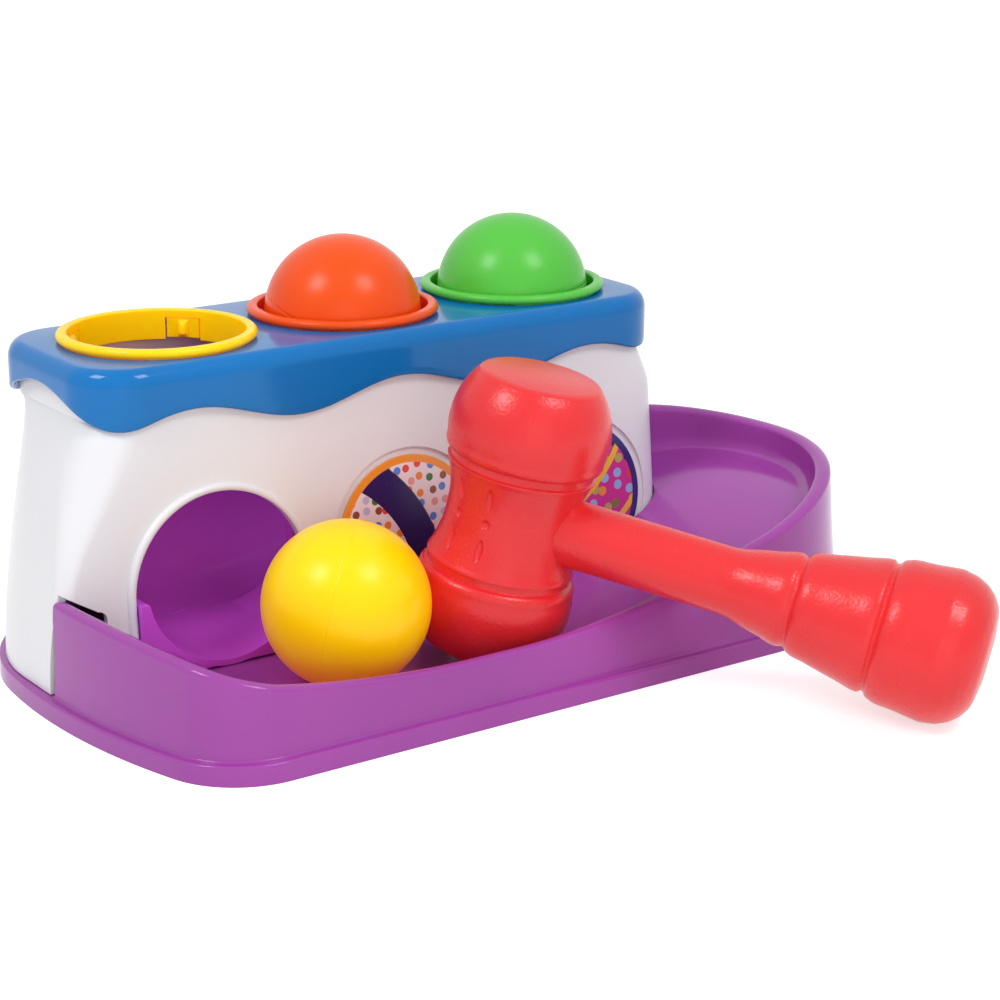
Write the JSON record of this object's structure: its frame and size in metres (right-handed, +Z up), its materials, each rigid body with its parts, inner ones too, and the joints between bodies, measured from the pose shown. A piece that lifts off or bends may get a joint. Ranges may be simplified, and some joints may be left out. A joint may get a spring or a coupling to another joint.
{
  "type": "ball pounding bench",
  "caption": "Pounding bench toy: balls held in sprung rings over a chute that rolls them out of an arch into a catch tray, with a loose hammer.",
  "frame": {"origin": "on the ground plane, straight below the middle ring's axis, at the centre of the base's foot pad", "axes": "+X along the bench towards the round end of the tray, +Y away from the user towards the bench's back, +Z up"},
  "size_m": [0.276, 0.2497, 0.1232],
  "materials": {
    "purple_plastic": "glossy moulded purple",
    "white_plastic": "satin moulded white",
    "blue_plastic": "glossy moulded blue",
    "yellow_plastic": "satin moulded yellow",
    "orange_plastic": "satin moulded orange",
    "green_plastic": "satin moulded green",
    "red_plastic": "satin blow-moulded red",
    "printed_label": "printed film on card, multi-coloured dots",
    "zinc_steel": "zinc-plated"
  },
  "bodies": {
    "bench": {"base_tray": "purple_plastic", "inner_chute": "purple_plastic", "housing_shell": "white_plastic", "top_lid": "blue_plastic", "middle_picture_disc": "printed_label", "right_picture_disc": "printed_label", "left_ring_collar": "yellow_plastic", "middle_ring_collar": "orange_plastic", "right_ring_collar": "green_plastic", "base_screw_1": "zinc_steel", "base_screw_2": "zinc_steel", "base_screw_3": "zinc_steel", "base_screw_4": "zinc_steel", "chute_screw_1": "zinc_steel", "chute_screw_2": "zinc_steel", "lid_screw_1": "zinc_steel", "lid_screw_2": "zinc_steel", "lid_screw_3": "zinc_steel", "lid_screw_4": "zinc_steel"},
    "orange_ball": {"orange_ball": "orange_plastic"},
    "green_ball": {"green_ball": "green_plastic"},
    "yellow_ball": {"yellow_ball": "yellow_plastic"},
    "hammer": {"hammer": "red_plastic"},
    "left_ring_finger_1": {"left_ring_finger_1": "yellow_plastic"},
    "left_ring_finger_2": {"left_ring_finger_2": "yellow_plastic"},
    "left_ring_finger_3": {"left_ring_finger_3": "yellow_plastic"},
    "left_ring_finger_4": {"left_ring_finger_4": "yellow_plastic"},
    "middle_ring_finger_1": {"middle_ring_finger_1": "orange_plastic"},
    "middle_ring_finger_2": {"middle_ring_finger_2": "orange_plastic"},
    "middle_ring_finger_3": {"middle_ring_finger_3": "orange_plastic"},
    "middle_ring_finger_4": {"middle_ring_finger_4": "orange_plastic"},
    "right_ring_finger_1": {"right_ring_finger_1": "green_plastic"},
    "right_ring_finger_2": {"right_ring_finger_2": "green_plastic"},
    "right_ring_finger_3": {"right_ring_finger_3": "green_plastic"},
    "right_ring_finger_4": {"right_ring_finger_4": "green_plastic"}
  },
  "joints": [
    {"name": "orange_ball_stroke", "type": "slide", "parent": "bench", "child": "orange_ball", "axis": [0, 0, -1], "range_m": [0, 0.012]},
    {"name": "green_ball_stroke", "type": "slide", "parent": "bench", "child": "green_ball", "axis": [0, 0, -1], "range_m": [0, 0.012]},
    {"name": "yellow_ball_lift_out", "type": "slide", "parent": "bench", "child": "yellow_ball", "axis": [0, 0, 1], "range_m": [0, 0.12]},
    {"name": "hammer_lift_out", "type": "slide", "parent": "bench", "child": "hammer", "axis": [0, 0, 1], "range_m": [0, 0.12]},
    {"name": "left_finger_1_flex", "type": "hinge", "parent": "bench", "child": "left_ring_finger_1", "pos_m": [-0.04661, 0.01969, 0.0985], "axis": [0.7071, -0.7071, 0], "range_deg": [0, 5], "stiffness_Nm_per_rad": 0.05},
    {"name": "left_finger_2_flex", "type": "hinge", "parent": "bench", "child": "left_ring_finger_2", "pos_m": [-0.08599, 0.01969, 0.0985], "axis": [0.7071, 0.7071, 0], "range_deg": [0, 5], "stiffness_Nm_per_rad": 0.05},
    {"name": "left_finger_3_flex", "type": "hinge", "parent": "bench", "child": "left_ring_finger_3", "pos_m": [-0.08599, -0.01969, 0.0985], "axis": [-0.7071, 0.7071, 0], "range_deg": [0, 5], "stiffness_Nm_per_rad": 0.05},
    {"name": "left_finger_4_flex", "type": "hinge", "parent": "bench", "child": "left_ring_finger_4", "pos_m": [-0.04661, -0.01969, 0.0985], "axis": [-0.7071, -0.7071, 0], "range_deg": [0, 5], "stiffness_Nm_per_rad": 0.05},
    {"name": "middle_finger_1_flex", "type": "hinge", "parent": "bench", "child": "middle_ring_finger_1", "pos_m": [0.01969, 0.01969, 0.0985], "axis": [0.7071, -0.7071, 0], "range_deg": [0, 5]},
    {"name": "middle_finger_2_flex", "type": "hinge", "parent": "bench", "child": "middle_ring_finger_2", "pos_m": [-0.01969, 0.01969, 0.0985], "axis": [0.7071, 0.7071, 0], "range_deg": [0, 5]},
    {"name": "middle_finger_3_flex", "type": "hinge", "parent": "bench", "child": "middle_ring_finger_3", "pos_m": [-0.01969, -0.01969, 0.0985], "axis": [-0.7071, 0.7071, 0], "range_deg": [0, 5]},
    {"name": "middle_finger_4_flex", "type": "hinge", "parent": "bench", "child": "middle_ring_finger_4", "pos_m": [0.01969, -0.01969, 0.0985], "axis": [-0.7071, -0.7071, 0], "range_deg": [0, 5]},
    {"name": "right_finger_1_flex", "type": "hinge", "parent": "bench", "child": "right_ring_finger_1", "pos_m": [0.08599, 0.01969, 0.0985], "axis": [0.7071, -0.7071, 0], "range_deg": [0, 5]},
    {"name": "right_finger_2_flex", "type": "hinge", "parent": "bench", "child": "right_ring_finger_2", "pos_m": [0.04661, 0.01969, 0.0985], "axis": [0.7071, 0.7071, 0], "range_deg": [0, 5]},
    {"name": "right_finger_3_flex", "type": "hinge", "parent": "bench", "child": "right_ring_finger_3", "pos_m": [0.04661, -0.01969, 0.0985], "axis": [-0.7071, 0.7071, 0], "range_deg": [0, 5]},
    {"name": "right_finger_4_flex", "type": "hinge", "parent": "bench", "child": "right_ring_finger_4", "pos_m": [0.08599, -0.01969, 0.0985], "axis": [-0.7071, -0.7071, 0], "range_deg": [0, 5]}
  ],
  "couplings": [
    {"joint": "middle_finger_1_flex", "follows": "orange_ball_stroke", "rad_per_m": 7},
    {"joint": "middle_finger_2_flex", "follows": "orange_ball_stroke", "rad_per_m": 7},
    {"joint": "middle_finger_3_flex", "follows": "orange_ball_stroke", "rad_per_m": 7},
    {"joint": "middle_finger_4_flex", "follows": "orange_ball_stroke", "rad_per_m": 7},
    {"joint": "right_finger_1_flex", "follows": "green_ball_stroke", "rad_per_m": 7},
    {"joint": "right_finger_2_flex", "follows": "green_ball_stroke", "rad_per_m": 7},
    {"joint": "right_finger_3_flex", "follows": "green_ball_stroke", "rad_per_m": 7},
    {"joint": "right_finger_4_flex", "follows": "green_ball_stroke", "rad_per_m": 7}
  ]
}
